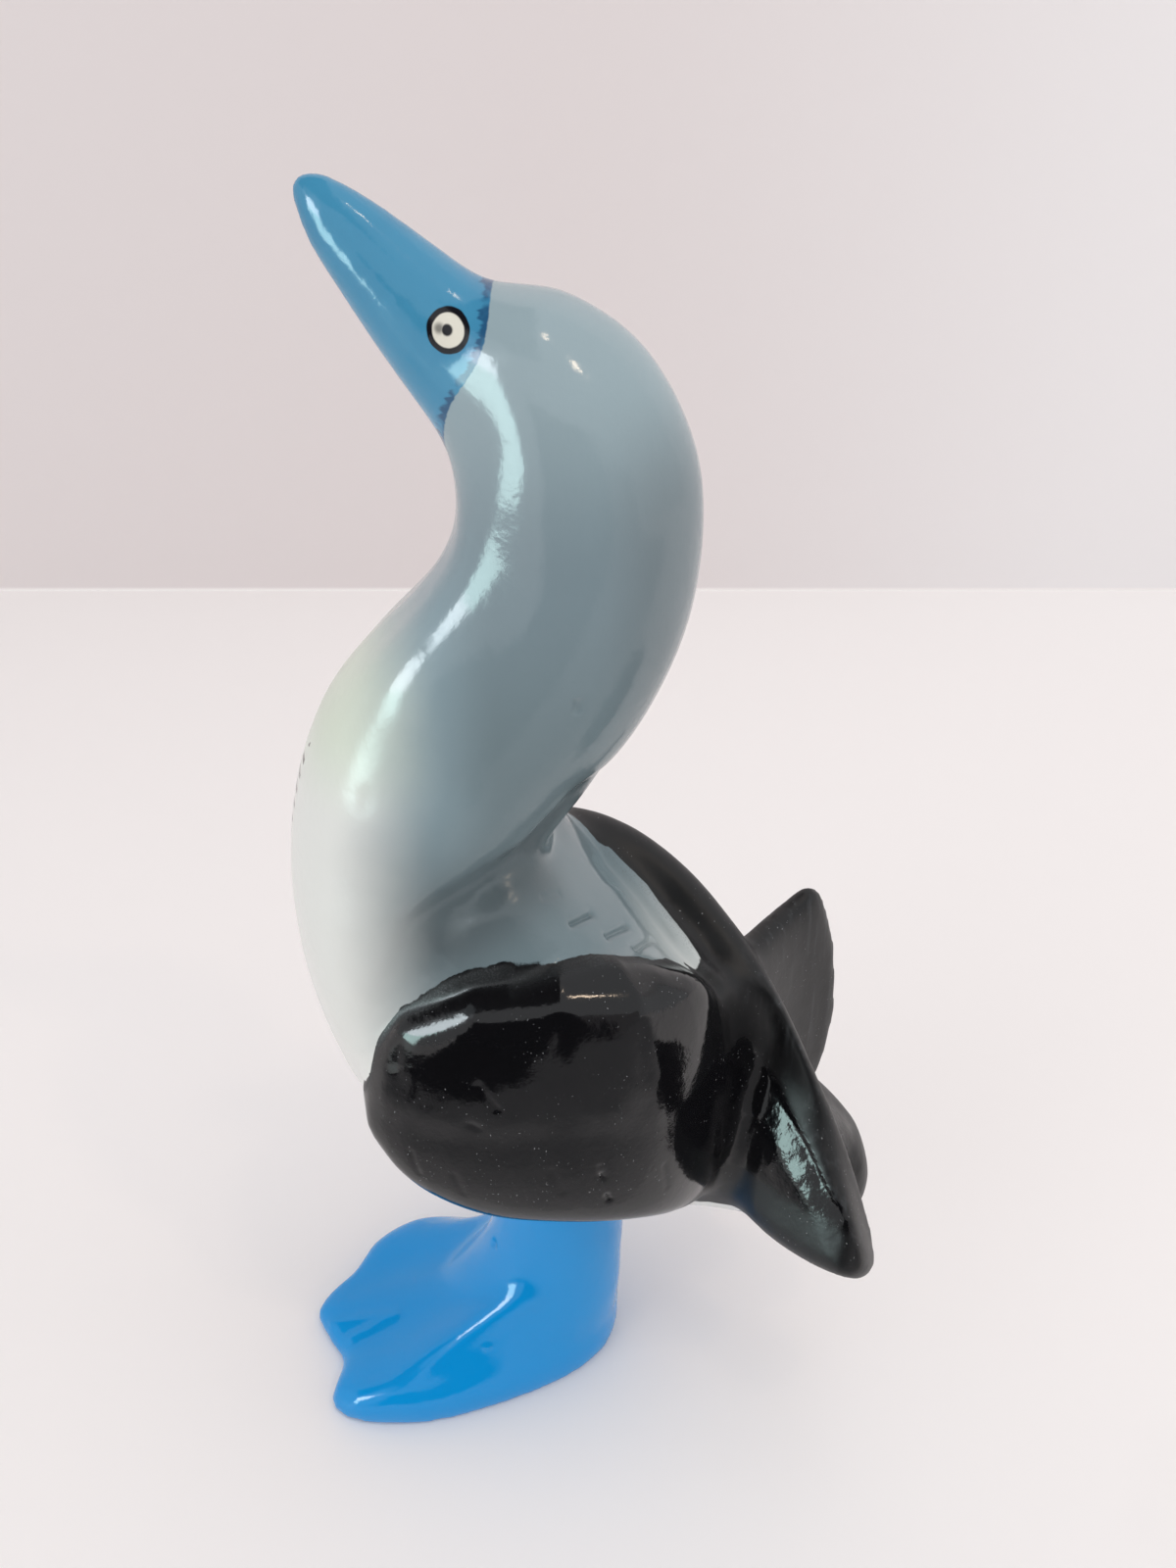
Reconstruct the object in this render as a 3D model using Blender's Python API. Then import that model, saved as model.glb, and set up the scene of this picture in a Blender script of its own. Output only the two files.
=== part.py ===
"""Ceramic seabird figurine: bill raised to the sky, wings crossed over the rump, one broad webbed foot."""

import math

import bmesh
import bpy
from mathutils import Vector

# Driving dimensions, in metres. The bird faces -Y, its left side is +X, and it stands on z = 0.
FIGURE_HEIGHT = 0.160
WING_THICKNESS = 0.0096
TOE_THICKNESS = 0.0034

# The modeller's clay: how finely the joined forms are skinned and how softly their joins are worked.
SKIN_STEP = 0.0058
SOFTENING_PASSES = 4
TRIANGLE_BUDGET = 8600

# Everything below is the pose and the proportions, in shares of the figure's height.
# Neck, head and bill: front (y, z), back (y, z) and half width of each cross-section, from the bill down.
BILL_TIP = (-0.166, 1.003)
NECK_SECTIONS = (
    ((-0.1705, 0.991), (-0.153, 1.0005), 0.0095),
    ((-0.166, 0.970), (-0.130, 0.989), 0.018),
    ((-0.148, 0.935), (-0.103, 0.972), 0.0275),
    ((-0.118, 0.888), (-0.080, 0.955), 0.038),
    ((-0.093, 0.852), (-0.059, 0.941), 0.046),
    ((-0.087, 0.837), (-0.043, 0.940), 0.051),
    ((-0.085, 0.824), (-0.012, 0.936), 0.058),
    ((-0.085, 0.805), (0.036, 0.904), 0.069),
    ((-0.089, 0.788), (0.069, 0.845), 0.077),
    ((-0.101, 0.766), (0.076, 0.785), 0.081),
    ((-0.124, 0.739), (0.067, 0.722), 0.083),
    ((-0.154, 0.711), (0.040, 0.658), 0.087),
    ((-0.184, 0.673), (0.003, 0.606), 0.092),
    ((-0.208, 0.616), (-0.034, 0.553), 0.097),
    ((-0.221, 0.545), (-0.068, 0.492), 0.098),
    ((-0.219, 0.470), (-0.100, 0.432), 0.092),
    ((-0.205, 0.400), (-0.128, 0.378), 0.076),
    ((-0.191, 0.348), (-0.150, 0.335), 0.050),
)
BREAST_END = (-0.172, 0.312)

# Trunk and tail: top (y, z), bottom (y, z) and half width, from inside the breast to the tail's end.
# The back is squarer across than the rounded belly.
TRUNK_START = (-0.150, 0.470)
TRUNK_SECTIONS = (
    ((-0.105, 0.558), (-0.194, 0.372), 0.084),
    ((-0.062, 0.578), (-0.181, 0.318), 0.098),
    ((-0.028, 0.552), (-0.158, 0.275), 0.102),
    ((0.010, 0.510), (-0.118, 0.240), 0.105),
    ((0.050, 0.475), (-0.058, 0.203), 0.097),
    ((0.088, 0.448), (0.016, 0.179), 0.071),
    ((0.130, 0.385), (0.085, 0.170), 0.046),
    ((0.175, 0.322), (0.150, 0.158), 0.040),
    ((0.212, 0.280), (0.205, 0.150), 0.039),
    ((0.238, 0.246), (0.238, 0.160), 0.032),
)
TAIL_END = (0.252, 0.200)
BACK_SQUARENESS = 4.4

# Wings: middle of the blade (x outwards, y), bottom z, top z and thickness as a share of WING_THICKNESS.
# The right wing lies a little higher and crosses over the left one behind the back.
LEFT_WING_FRONT = (0.086, -0.170, 0.390)
LEFT_WING_SECTIONS = (
    (0.090, -0.162, 0.355, 0.428, 0.62),
    (0.098, -0.132, 0.315, 0.472, 0.90),
    (0.105, -0.080, 0.289, 0.498, 1.00),
    (0.107, -0.020, 0.283, 0.508, 1.00),
    (0.096, 0.030, 0.272, 0.500, 0.96),
    (0.070, 0.065, 0.246, 0.476, 0.90),
    (0.034, 0.090, 0.216, 0.448, 0.80),
    (-0.004, 0.113, 0.202, 0.434, 0.70),
    (-0.045, 0.139, 0.200, 0.431, 0.62),
    (-0.078, 0.168, 0.202, 0.436, 0.52),
    (-0.098, 0.194, 0.204, 0.443, 0.42),
    (-0.108, 0.210, 0.206, 0.408, 0.34),
    (-0.113, 0.221, 0.214, 0.370, 0.28),
)
LEFT_WING_TIP = (-0.116, 0.233, 0.292)
RIGHT_WING_FRONT = (0.086, -0.170, 0.395)
RIGHT_WING_SECTIONS = (
    (0.090, -0.162, 0.355, 0.436, 0.62),
    (0.098, -0.132, 0.315, 0.484, 0.90),
    (0.105, -0.080, 0.289, 0.514, 1.00),
    (0.107, -0.020, 0.283, 0.524, 1.00),
    (0.097, 0.030, 0.272, 0.512, 0.96),
    (0.070, 0.071, 0.252, 0.488, 0.90),
    (0.032, 0.101, 0.226, 0.466, 0.86),
    (-0.005, 0.129, 0.194, 0.440, 0.80),
    (-0.036, 0.158, 0.175, 0.396, 0.72),
    (-0.058, 0.186, 0.169, 0.340, 0.64),
    (-0.077, 0.210, 0.172, 0.282, 0.54),
    (-0.090, 0.229, 0.178, 0.226, 0.42),
)
RIGHT_WING_TIP = (-0.097, 0.240, 0.190)
WING_LEAN = 0.014
FRONT_SQUARENESS = 2.3
TIP_SQUARENESS = 3.6

# Foot: its outline on the ground (x, y), from the heel round by the left side.
ANKLE = (0.000, -0.030)
FOOT_OUTLINE = (
    (0.000, 0.029),
    (0.034, 0.016),
    (0.065, -0.021),
    (0.094, -0.086),
    (0.110, -0.150),
    (0.108, -0.205),
    (0.092, -0.232),
    (0.070, -0.229),
    (0.050, -0.228),
    (0.026, -0.246),
    (0.000, -0.262),
    (-0.022, -0.254),
    (-0.044, -0.234),
    (-0.062, -0.226),
    (-0.080, -0.218),
    (-0.098, -0.190),
    (-0.102, -0.145),
    (-0.090, -0.084),
    (-0.063, -0.021),
    (-0.033, 0.016),
)

# Foot: heights of its side wall and instep, and the low ridge over each outer toe, whose place across the
# foot runs from one share of the half width at the toe's end to another at the instep.
SIDE_WALL = 0.034
INSTEP_HEIGHT = 0.150
INSTEP_CURVE = 2.0
TOE_RIDGE = 0.004
TOE_RIDGE_PLACE = 0.86
INSTEP_RIDGE_PLACE = 0.56
RIDGE_BEND = 0.64
WALL_LIMIT = 0.85
RIM = 0.09
RIM_ROUNDING = 0.6
FOOT_STEPS = (0.15, 0.3, 0.42, 0.54, 0.65, 0.75, 0.84, 0.91, 0.955, 0.985, 1.0)
OUTLINE_STEPS = 5
LEAST_HALF_WIDTH = 0.004

# Leg: height, front and back (y), and half width of each cross-section.
LEG_SECTIONS = (
    (0.015, -0.172, 0.024, 0.070),
    (0.045, -0.150, 0.028, 0.066),
    (0.075, -0.124, 0.031, 0.060),
    (0.110, -0.100, 0.032, 0.054),
    (0.150, -0.086, 0.033, 0.051),
    (0.200, -0.076, 0.030, 0.048),
    (0.250, -0.060, 0.010, 0.034),
)
LEG_TOP = 0.262

BODY_GREY = (0.27, 0.38, 0.40, 1.0)
RING_POINTS = 32
SECTION_STEPS = 4
ROUND = 2.0
NODE_NAME = "bird_figurine"


def clear_scene():
    for item in list(bpy.data.objects):
        bpy.data.objects.remove(item, do_unlink=True)


def smooth_rows(rows, steps):
    """Rows of numbers read from a smooth curve through the given rows."""
    result = []
    last = len(rows) - 1
    for i in range(last):
        before = rows[max(i - 1, 0)]
        start = rows[i]
        end = rows[i + 1]
        after = rows[min(i + 2, last)]
        for step in range(steps):
            t = step / steps
            result.append([
                0.5 * (2 * b + (c - a) * t + (2 * a - 5 * b + 4 * c - d) * t * t + (3 * b - a - 3 * c + d) * t ** 3)
                for a, b, c, d in zip(before, start, end, after)
            ])
    result.append(list(rows[last]))
    return result


def curved(value, squareness):
    return math.copysign(abs(value) ** (2.0 / squareness), value)


def ring(centre, side, up, squareness=ROUND, squareness_below=None):
    """One closed cross-section about a centre, reaching to the side and up vectors."""
    points = []
    for k in range(RING_POINTS):
        angle = 2.0 * math.pi * k / RING_POINTS
        power = squareness
        if squareness_below and math.sin(angle) < 0.0:
            power = squareness_below
        points.append(centre + side * curved(math.cos(angle), power) + up * curved(math.sin(angle), power))
    return points


def skin(mesh, rings, start, end):
    """Adds a closed skin over a row of rings, with a point at each end."""
    loops = [[mesh.verts.new(point) for point in points] for points in rings]
    faces = []
    for first, second in zip(loops, loops[1:]):
        for k in range(RING_POINTS):
            n = (k + 1) % RING_POINTS
            faces.append(mesh.faces.new((first[k], first[n], second[n], second[k])))
    for loop, point in ((loops[0], start), (loops[-1], end)):
        pole = mesh.verts.new(point)
        for k in range(RING_POINTS):
            faces.append(mesh.faces.new((loop[k], loop[(k + 1) % RING_POINTS], pole)))
    bmesh.ops.recalc_face_normals(mesh, faces=faces)


def add_profile_form(mesh, sections, start, end, squareness=ROUND):
    """A form between two edges in the bird's middle plane, round across or squarer towards its first edge."""
    rows = smooth_rows([(*first, *second, half_width) for first, second, half_width in sections], SECTION_STEPS)
    rings = []
    for y1, z1, y2, z2, half_width in rows:
        centre = Vector((0.0, (y1 + y2) / 2, (z1 + z2) / 2))
        up = Vector((0.0, (y1 - y2) / 2, (z1 - z2) / 2))
        rings.append(ring(centre, Vector((half_width, 0.0, 0.0)), up, squareness, ROUND))
    skin(mesh, rings, Vector((0.0, *start)), Vector((0.0, *end)))


def add_wing(mesh, sections, front, tip, side):
    """A wing: an upright blade with rounded edges, bent along its path. side is 1 for left, -1 for right."""
    rows = smooth_rows(sections, SECTION_STEPS)
    half_thickness = WING_THICKNESS / FIGURE_HEIGHT / 2
    middles = [Vector((x * side, y, (low + high) / 2)) for x, y, low, high, share in rows]
    rings = []
    for k, (x, y, low, high, share) in enumerate(rows):
        along = middles[min(k + 1, len(rows) - 1)] - middles[max(k - 1, 0)]
        across = Vector((along.y, -along.x, 0.0)).normalized()
        lean = -WING_LEAN * max(0.0, min(1.0, x / front[0])) * side
        up = Vector((lean, 0.0, (high - low) / 2))
        squareness = FRONT_SQUARENESS + (TIP_SQUARENESS - FRONT_SQUARENESS) * k / len(rows)
        rings.append(ring(middles[k], across * half_thickness * share, up, squareness))
    ends = [Vector((x * side, y, z)) for x, y, z in (front, tip)]
    skin(mesh, rings, *ends)


def half_width_at(outline, y, side):
    """How far the outline reaches to one side of the foot's middle at y."""
    widest = LEAST_HALF_WIDTH
    for k, point in enumerate(outline):
        after = outline[(k + 1) % len(outline)]
        low, high = sorted((point.y, after.y))
        if low <= y <= high and high > low:
            x = point.x + (after.x - point.x) * (y - point.y) / (after.y - point.y)
            widest = max(widest, x * side)
    return widest


def foot_height(outline, place, reach):
    """Height of the foot's back at a place, reach being the share of the way from the ankle to the edge."""
    toes = TOE_THICKNESS / FIGURE_HEIGHT
    tip = min(point.y for point in outline)
    along = max(0.0, min(1.0, (place.y - tip) / (ANKLE[1] - tip)))
    crest = toes + (INSTEP_HEIGHT - toes) * along ** INSTEP_CURVE
    side = math.copysign(1.0, place.x)
    across = min(1.0, abs(place.x) / half_width_at(outline, place.y, side))
    bend = min(1.0, along / RIDGE_BEND)
    ridge_place = TOE_RIDGE_PLACE + (INSTEP_RIDGE_PLACE - TOE_RIDGE_PLACE) * bend
    edge = min(SIDE_WALL, WALL_LIMIT * crest)
    if across > ridge_place:
        fall = (across - ridge_place) / (1.0 - ridge_place)
        height = edge + (crest - edge) * (0.5 + 0.5 * math.cos(math.pi * fall))
    else:
        web = 0.5 - 0.5 * math.cos(2.0 * math.pi * across / ridge_place)
        height = crest - TOE_RIDGE * web
    rounding = max(0.0, (reach - 1.0 + RIM) / RIM)
    return height * math.sqrt(1.0 - RIM_ROUNDING * rounding * rounding)


def add_foot(mesh):
    """The webbed foot: a low fan that rises to the instep, closed a little below the ground."""
    turn = smooth_rows(FOOT_OUTLINE + FOOT_OUTLINE[:1], OUTLINE_STEPS)
    outline = [Vector((x, y, 0.0)) for x, y in turn[:-1]]
    centre = Vector((*ANKLE, 0.0))
    depth = -TOE_THICKNESS / FIGURE_HEIGHT
    count = len(outline)
    faces = []
    top = mesh.verts.new(centre + Vector((0.0, 0.0, INSTEP_HEIGHT)))
    previous = None
    for reach in FOOT_STEPS:
        loop = []
        for point in outline:
            place = centre + (point - centre) * reach
            loop.append(mesh.verts.new((place.x, place.y, foot_height(outline, place, reach))))
        for k in range(count):
            n = (k + 1) % count
            if previous is None:
                faces.append(mesh.faces.new((top, loop[k], loop[n])))
            else:
                faces.append(mesh.faces.new((previous[k], loop[k], loop[n], previous[n])))
        previous = loop
    base = [mesh.verts.new((point.x, point.y, depth)) for point in outline]
    for k in range(count):
        n = (k + 1) % count
        faces.append(mesh.faces.new((previous[k], base[k], base[n], previous[n])))
    faces.append(mesh.faces.new(base))
    bmesh.ops.recalc_face_normals(mesh, faces=faces)


def add_leg(mesh):
    """The short thick leg, spreading forwards into the instep, from inside the foot up into the belly."""
    rings = []
    for z, front, back, half_width in smooth_rows(LEG_SECTIONS, SECTION_STEPS):
        centre = Vector((0.0, (front + back) / 2, z))
        rings.append(ring(centre, Vector((half_width, 0.0, 0.0)), Vector((0.0, (back - front) / 2, 0.0))))
    start = Vector((*ANKLE, 0.0))
    skin(mesh, rings, start, Vector((*ANKLE, LEG_TOP)))


def figure_forms():
    """All forms of the figure, overlapping, as one mesh in real size."""
    mesh = bmesh.new()
    add_profile_form(mesh, NECK_SECTIONS, BILL_TIP, BREAST_END)
    add_profile_form(mesh, TRUNK_SECTIONS, TRUNK_START, TAIL_END, BACK_SQUARENESS)
    add_wing(mesh, LEFT_WING_SECTIONS, LEFT_WING_FRONT, LEFT_WING_TIP, 1)
    add_wing(mesh, RIGHT_WING_SECTIONS, RIGHT_WING_FRONT, RIGHT_WING_TIP, -1)
    add_leg(mesh)
    add_foot(mesh)
    bmesh.ops.scale(mesh, vec=(FIGURE_HEIGHT,) * 3, verts=mesh.verts)
    data = bpy.data.meshes.new(NODE_NAME)
    mesh.to_mesh(data)
    mesh.free()
    return data


def evaluated(item):
    """The object's mesh with its modifiers worked in."""
    graph = bpy.context.evaluated_depsgraph_get()
    return bpy.data.meshes.new_from_object(item.evaluated_get(graph))


def settle(item):
    """Works the modifiers into the object's own mesh."""
    data = evaluated(item)
    item.modifiers.clear()
    item.data = data


def join_forms(item):
    """Joins the overlapping forms under one skin and softens where they meet."""
    remesh = item.modifiers.new("one skin", "REMESH")
    remesh.mode = "VOXEL"
    remesh.voxel_size = SKIN_STEP * FIGURE_HEIGHT
    remesh.adaptivity = 0.0
    soften = item.modifiers.new("worked joins", "SMOOTH")
    soften.factor = 0.5
    soften.iterations = SOFTENING_PASSES
    settle(item)
    item.data.calc_loop_triangles()
    thin = item.modifiers.new("fewer faces", "DECIMATE")
    thin.ratio = TRIANGLE_BUDGET / len(item.data.loop_triangles)
    settle(item)


def cut_sole(item):
    """Cuts the underside of the foot flat on the ground."""
    mesh = bmesh.new()
    bmesh.ops.create_cube(mesh, size=FIGURE_HEIGHT)
    bmesh.ops.translate(mesh, verts=mesh.verts, vec=(0.0, 0.0, -FIGURE_HEIGHT / 2))
    data = bpy.data.meshes.new("ground_cutter")
    mesh.to_mesh(data)
    mesh.free()
    cutter = bpy.data.objects.new("ground_cutter", data)
    bpy.context.collection.objects.link(cutter)
    cutter.hide_render = True
    cutter.display_type = "WIRE"
    cut = item.modifiers.new("flat sole", "BOOLEAN")
    cut.operation = "DIFFERENCE"
    cut.object = cutter


def glaze():
    """The grey-blue gloss paint of the neck and back."""
    material = bpy.data.materials.new("painted_ceramic")
    material.use_nodes = True
    shader = material.node_tree.nodes["Principled BSDF"]
    shader.inputs["Base Color"].default_value = BODY_GREY
    shader.inputs["Roughness"].default_value = 0.22
    shader.inputs["Metallic"].default_value = 0.0
    return material


def main():
    clear_scene()
    item = bpy.data.objects.new(NODE_NAME, figure_forms())
    bpy.context.collection.objects.link(item)
    join_forms(item)
    cut_sole(item)
    item.data.shade_smooth()
    item.data.materials.append(glaze())


main()
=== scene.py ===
"""Looks of the seabird figurine: one cast ceramic bird, painted by hand and glazed."""
import math

import bpy
import numpy as np
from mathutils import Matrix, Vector


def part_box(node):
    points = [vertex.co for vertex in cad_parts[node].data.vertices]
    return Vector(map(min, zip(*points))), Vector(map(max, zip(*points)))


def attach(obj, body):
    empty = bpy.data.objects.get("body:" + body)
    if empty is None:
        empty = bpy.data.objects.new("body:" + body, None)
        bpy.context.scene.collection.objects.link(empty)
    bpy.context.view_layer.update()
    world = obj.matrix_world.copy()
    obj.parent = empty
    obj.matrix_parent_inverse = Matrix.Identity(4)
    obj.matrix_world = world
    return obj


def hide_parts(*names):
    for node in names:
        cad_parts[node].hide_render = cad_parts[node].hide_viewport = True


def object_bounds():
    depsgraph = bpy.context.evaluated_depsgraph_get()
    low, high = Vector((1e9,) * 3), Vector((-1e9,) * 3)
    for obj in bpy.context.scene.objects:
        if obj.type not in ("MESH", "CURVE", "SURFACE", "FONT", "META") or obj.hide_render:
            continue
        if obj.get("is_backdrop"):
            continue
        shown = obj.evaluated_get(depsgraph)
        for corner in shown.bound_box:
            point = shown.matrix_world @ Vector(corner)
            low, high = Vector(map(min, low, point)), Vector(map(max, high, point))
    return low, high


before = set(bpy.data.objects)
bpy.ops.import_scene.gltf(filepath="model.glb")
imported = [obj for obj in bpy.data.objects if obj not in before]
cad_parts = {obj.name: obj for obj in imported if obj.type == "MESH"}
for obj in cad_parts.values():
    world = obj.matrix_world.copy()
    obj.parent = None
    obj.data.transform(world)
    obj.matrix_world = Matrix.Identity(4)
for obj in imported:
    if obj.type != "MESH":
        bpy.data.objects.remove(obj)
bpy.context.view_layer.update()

# The view: a lens held close above the bird's left side and looking down at it. All places in this script
# are shares of the figure's height, so that the view, the light and the paint keep to the figure.
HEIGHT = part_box("bird_figurine")[1].z
CAMERA_PLACE = Vector((0.778, 0.0, 1.048))
CAMERA_PITCH = math.radians(30.0)
CAMERA_LENS = 28.35
CAMERA_NEAREST = 0.005

camera_data = bpy.data.cameras.new("camera")
camera_data.lens = CAMERA_LENS
camera_data.clip_start = CAMERA_NEAREST
camera = bpy.data.objects.new("camera", camera_data)
bpy.context.collection.objects.link(camera)
camera.location = CAMERA_PLACE * HEIGHT
camera.rotation_euler = (math.pi / 2 - CAMERA_PITCH, 0.0, math.pi / 2)
bpy.context.scene.camera = camera
bpy.context.scene.view_settings.view_transform = "Standard"


# The table: a pale matt board lying flat, and a pale painted wall behind it. They aren't part of the figure.
# The shader maths that paints them is used for the figure too: an expression on channels adds its nodes.
BOARD_BACK = -1.94
BOARD_FRONT = 9.0
BOARD_HALF_WIDTH = 9.0
WALL_HEIGHT = 5.0
WALL_LINE_SOFTNESS = 0.01
WALL_SHADE_RIGHT = -0.2
WALL_SHADE_LEFT = 1.5


class Channel:
    """One output of a node."""
    def __init__(self, tree, socket):
        self.tree = tree
        self.socket = socket

    def sum_with(self, operation, *values):
        return add_node(self.tree, "ShaderNodeMath", {"operation": operation}, dict(enumerate(values)))

    def __add__(self, other):
        return self.sum_with("ADD", self, other)

    __radd__ = __add__

    def __sub__(self, other):
        return self.sum_with("SUBTRACT", self, other)

    def __rsub__(self, other):
        return self.sum_with("SUBTRACT", other, self)

    def __mul__(self, other):
        return self.sum_with("MULTIPLY", self, other)

    __rmul__ = __mul__

    def __truediv__(self, other):
        return self.sum_with("DIVIDE", self, other)

    def __rtruediv__(self, other):
        return self.sum_with("DIVIDE", other, self)

    def __neg__(self):
        return self.sum_with("MULTIPLY", self, -1.0)

    def __abs__(self):
        return self.sum_with("ABSOLUTE", self)

    def __mod__(self, other):
        return self.sum_with("FLOORED_MODULO", self, other)


def feed(node, values):
    """Sets a node's sockets to values, or links them to channels."""
    for name, value in values.items():
        if isinstance(value, Channel):
            value.tree.links.new(value.socket, node.inputs[name])
        else:
            node.inputs[name].default_value = value


def add_node(tree, kind, settings=None, values=None, output=0):
    """Adds a node with its settings first, then the values or links of its sockets."""
    node = tree.nodes.new(kind)
    for name, value in (settings or {}).items():
        setattr(node, name, value)
    feed(node, values or {})
    return Channel(tree, node.outputs[output])


def new_material(name):
    """A material, its nodes and its Principled shader."""
    material = bpy.data.materials.new(name)
    material.use_nodes = True
    return material, material.node_tree, material.node_tree.nodes["Principled BSDF"]


def split_place(tree, place):
    """A place's x, y and z."""
    return [add_node(tree, "ShaderNodeSeparateXYZ", values={0: place}, output=k) for k in range(3)]


def step_up(channel, start, end):
    """Rises smoothly from 0 at start to 1 at end."""
    return add_node(channel.tree, "ShaderNodeMapRange", {"interpolation_type": "SMOOTHSTEP"},
                    {"Value": channel, "From Min": start, "From Max": end})


def tint(under, over, share):
    """Lays one paint over another."""
    layers = {0: share, 6: under, 7: over}
    return add_node(share.tree, "ShaderNodeMix", {"data_type": "RGBA"}, layers, output=2)


def colour(*screen_values):
    """A paint's colour from its red, green and blue on a screen, 0 to 255 each."""
    shares = [value / 255 for value in screen_values]
    return tuple(s / 12.92 if s <= 0.04045 else ((s + 0.055) / 1.055) ** 2.4 for s in shares) + (1.0,)


BOARD_PAINT = colour(247, 242, 240)
WALL_PAINT = colour(225, 216, 215)
WALL_PAINTED_LIGHT = colour(238, 234, 234)

bpy.ops.object.select_all(action="DESELECT")
bpy.ops.mesh.primitive_plane_add(size=1.0)
board = bpy.context.object
board.name = "floor"
profile = ((BOARD_FRONT, 0.0), (BOARD_BACK, 0.0), (BOARD_BACK, WALL_HEIGHT))
points = [(x * HEIGHT, y * BOARD_HALF_WIDTH * HEIGHT, z * HEIGHT) for x, z in profile for y in (-1, 1)]
faces = [(2 * k, 2 * k + 1, 2 * k + 3, 2 * k + 2) for k in range(len(profile) - 1)]
board.data.clear_geometry()
board.data.from_pydata(points, [], faces)
board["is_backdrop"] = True

board_material, tree, shader = new_material("pale_board")
place = add_node(tree, "ShaderNodeTexCoord", output=3)
x, y, z = split_place(tree, place)
# Painted light: the wall's paint turns lighter towards +y, for the brighter light falling on that end of it.
wall = tint(WALL_PAINT, WALL_PAINTED_LIGHT, step_up(y, WALL_SHADE_RIGHT * HEIGHT, WALL_SHADE_LEFT * HEIGHT))
feed(shader, {
    "Base Color": tint(BOARD_PAINT, wall, step_up(z, 0.0, WALL_LINE_SOFTNESS * HEIGHT)),
    "Roughness": 0.62,
    "Specular IOR Level": 0.25,
})
board.data.materials.append(board_material)


# The light: a pale room all round, two small warm lamps high behind the camera's right, a window before the
# breast, greener below and bluer above, the bright ceiling over that window, and three soft lights that the
# glaze doesn't mirror. Each row is a name, a place, a size, a power and, where they differ, a colour; the
# bright ceiling's has its target after its place.
ROOM_PAINT = colour(245, 247, 250)
ROOM_LIGHT = 0.82
FIGURE_MIDDLE = (0.0, 0.0, 0.5)
LAMP_COLOUR = (1.0, 0.78, 0.58)
LAMPS = (
    ("warm_lamp_near", (2.1, 2.5, 4.6), (0.26, 0.30), 0.24),
    ("warm_lamp_far", (1.4, 1.2, 5.5), (0.30, 0.26), 0.20),
)
LOW_PANE_COLOUR = (0.70, 1.0, 0.97)
HIGH_PANE_COLOUR = (0.84, 0.95, 1.0)
WINDOW_PANES = (
    ("window_low_pane", (2.07, -3.19, 0.885), (1.15, 1.33), 1.15, LOW_PANE_COLOUR),
    ("window_high_pane", (2.07, -3.19, 2.150), (1.15, 1.20), 1.45, HIGH_PANE_COLOUR),
)
BRIGHT_CEILING = ("bright_ceiling", (2.26, -3.23, 3.58), FIGURE_MIDDLE, (2.6, 1.7), 0.22, HIGH_PANE_COLOUR)
SOFT_COLOUR = (0.95, 0.98, 1.0)
SOFT_LIGHTS = (
    ("soft_ceiling", (0.5, 2.0, 6.0), (5.0, 5.0), 1.5),
    ("soft_window", (5.0, -6.5, 3.2), (5.0, 5.0), 2.2),
    ("soft_door", (0.5, 6.0, 2.5), (3.0, 3.0), 0.8),
)

world = bpy.data.worlds.new("pale_room")
bpy.context.scene.world = world
world.use_nodes = True
feed(world.node_tree.nodes["Background"], {"Color": ROOM_PAINT, "Strength": ROOM_LIGHT})


def hang_light(name, place, target, size, power, colour_of_light):
    """A rectangular light at a place, facing a target."""
    data = bpy.data.lights.new(name, "AREA")
    data.shape = "RECTANGLE"
    data.size = size[0] * HEIGHT
    data.size_y = size[1] * HEIGHT
    data.energy = power
    data.color = colour_of_light
    light = bpy.data.objects.new(name, data)
    bpy.context.collection.objects.link(light)
    light.location = Vector(place) * HEIGHT
    light.rotation_euler = (Vector(target) - Vector(place)).to_track_quat("-Z", "Y").to_euler()
    light.visible_camera = False
    return light


for name, place, size, power in LAMPS:
    hang_light(name, place, FIGURE_MIDDLE, size, power, LAMP_COLOUR)
for name, place, size, power, colour_of_light in WINDOW_PANES:
    pane = hang_light(name, place, (0.0, 0.0, place[2]), size, power, colour_of_light)
    pane.visible_diffuse = False
hang_light(*BRIGHT_CEILING)
for name, place, size, power in SOFT_LIGHTS:
    soft_light = hang_light(name, place, FIGURE_MIDDLE, size, power, SOFT_COLOUR)
    soft_light.visible_glossy = False


# Three studio cards that only the glaze mirrors, as painted shade for the darker room about the figure: one
# lies on the table and stands up before the camera, grey near the figure and black by the lens; a small dark
# one lies beside the tail; a dark one hangs overhead.
CARD_PROFILE = ((0.30, 0.012), (2.60, 0.02), (2.70, 1.70))
CARD_SIDES = (-1.5, 3.6)
CARD_GREY = colour(168, 167, 168)
CARD_NEAR_GREY = colour(226, 222, 221)
CARD_BLACK = colour(6, 6, 6)
CARD_BLACK_SIDE = 1.7
LENS_SHADE_START = 0.75
LENS_SHADE_SIDE = 0.38
LENS_SHADE_SPREAD = 1.4
LENS_SHADE_RISE = 4.8
RAGGED_SCALE = 9.0
RAGGED_BLACK = 0.9
RAGGED_GREY = 0.2
SMALL_CARD_OUTLINE = ((0.10, 0.52), (0.20, 0.44), (0.25, 0.50), (0.33, 0.46), (0.42, 0.62), (0.40, 0.70),
                      (0.46, 0.86), (0.30, 1.02), (0.15, 0.98), (0.06, 0.74))
SMALL_CARD_HEIGHT = 0.016
OVERHEAD_PLACE = (1.0, -3.9, 6.3)
OVERHEAD_REACH = 4.5
OVERHEAD_GREY = colour(60, 58, 58)


def larger(first, second):
    return first.sum_with("MAXIMUM", first, second)


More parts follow.
